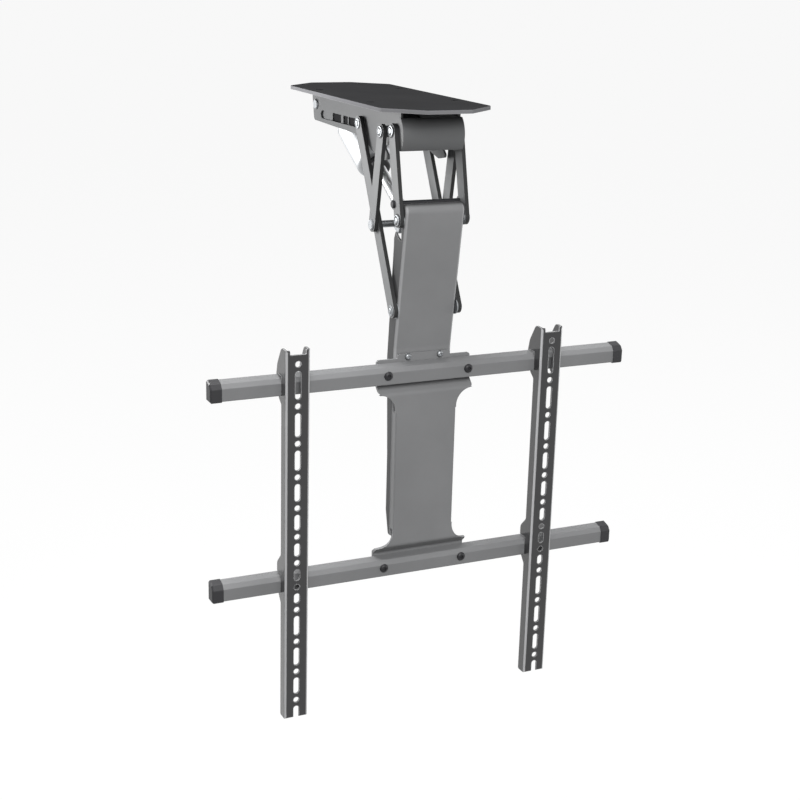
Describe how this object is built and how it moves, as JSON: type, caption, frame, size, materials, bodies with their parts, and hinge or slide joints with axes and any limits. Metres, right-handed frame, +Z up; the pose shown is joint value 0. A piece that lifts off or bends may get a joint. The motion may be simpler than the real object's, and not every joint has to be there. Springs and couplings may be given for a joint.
{
  "type": "tv ceiling mount",
  "caption": "Motorised folding TV ceiling mount: an arm on a link mechanism under an eight-sided plate carries a rail frame with screen brackets.",
  "frame": {"origin": "centre of the ceiling plate's top face", "axes": "+Z up towards the ceiling, -Y towards the viewer of the screen, +X to the right seen from the screen side"},
  "size_m": [0.516, 0.338, 0.691],
  "materials": {
    "black_coat": "satin black powder coat",
    "grey_coat": "satin dark grey powder coat",
    "link_coat": "satin grey coat, lighter than the arm",
    "zinc": "bright zinc plated",
    "drive_metal": "smooth bright",
    "spindle_steel": "polished",
    "black_plastic": "matte",
    "black_steel": "blackened",
    "light_plastic": "matte grey",
    "gear_metal": "satin"
  },
  "bodies": {
    "ceiling_unit": {"ceiling_plate": "black_coat", "housing": "grey_coat", "front_cover": "grey_coat", "slot_liner_left": "black_plastic", "slot_liner_right": "black_plastic", "slot_bars": "light_plastic", "swing_pivot_pins": "zinc", "crank_pivot_pins": "zinc", "rear_drive_pins": "zinc"},
    "swing_links": {"swing_link_left": "link_coat", "swing_link_right": "link_coat", "swing_cross_bar": "black_steel", "cross_bar_bolts": "black_steel"},
    "lift_arm_unit": {"lift_arm": "grey_coat", "arm_bosses": "zinc", "arm_pivot_pins": "zinc", "frame_plate": "grey_coat", "upper_rail": "grey_coat", "lower_rail": "grey_coat", "upper_cap_left": "black_plastic", "upper_cap_right": "black_plastic", "lower_cap_left": "black_plastic", "lower_cap_right": "black_plastic", "rail_screws": "black_steel", "arm_bolts": "zinc"},
    "cranks": {"crank_link_left": "link_coat", "crank_link_right": "link_coat", "crank_shaft_left": "zinc", "crank_shaft_right": "zinc"},
    "lift_rods": {"lift_rod_left": "link_coat", "lift_rod_right": "link_coat", "guide_pins": "zinc", "rod_arm_pins": "zinc"},
    "nut": {"spindle_nut": "zinc"},
    "drive": {"drive_motor": "drive_metal", "drive_front_cap": "black_plastic", "drive_gearbox": "gear_metal", "drive_spindle": "spindle_steel"},
    "left_bracket_body": {"left_bracket": "black_coat"},
    "right_bracket_body": {"right_bracket": "black_coat"}
  },
  "joints": [
    {"name": "fold", "type": "hinge", "parent": "ceiling_unit", "child": "swing_links", "pos_m": [0, -0.11135, -0.0278], "axis": [-1, 0, 0], "range_deg": [0, 39.92]},
    {"name": "arm_hinge", "type": "hinge", "parent": "swing_links", "child": "lift_arm_unit", "pos_m": [0, -0.13305, -0.122], "axis": [1, 0, 0], "range_deg": [-0.4, 100.32]},
    {"name": "crank_hinge", "type": "hinge", "parent": "ceiling_unit", "child": "cranks", "pos_m": [0, -0.09355, -0.03021], "axis": [1, 0, 0], "range_deg": [-0.4, 48.98]},
    {"name": "rod_hinge", "type": "hinge", "parent": "cranks", "child": "lift_rods", "pos_m": [0, -0.07501, -0.13602], "axis": [-1, 0, 0], "range_deg": [-0.4, 83.24]},
    {"name": "nut_hinge", "type": "hinge", "parent": "cranks", "child": "nut", "pos_m": [0, -0.07501, -0.13602], "axis": [-1, 0, 0], "range_deg": [-0.4, 51.8]},
    {"name": "spindle_travel", "type": "slide", "parent": "nut", "child": "drive", "axis": [0, -0.8688, -0.4952], "range_m": [-0.0005, 0.08843]},
    {"name": "left_bracket_slide", "type": "slide", "parent": "lift_arm_unit", "child": "left_bracket_body", "axis": [1, 0, 0], "range_m": [-0.066, 0.063]},
    {"name": "right_bracket_slide", "type": "slide", "parent": "lift_arm_unit", "child": "right_bracket_body", "axis": [1, 0, 0], "range_m": [-0.05, 0.078]}
  ],
  "couplings": [
    {"joint": "arm_hinge", "follows": "fold", "ratio": 2.503},
    {"joint": "crank_hinge", "follows": "fold", "ratio": 1.2169},
    {"joint": "rod_hinge", "follows": "fold", "ratio": 2.0751},
    {"joint": "nut_hinge", "follows": "fold", "ratio": 1.2875},
    {"joint": "spindle_travel", "follows": "fold", "m_per_rad": 0.1262}
  ]
}
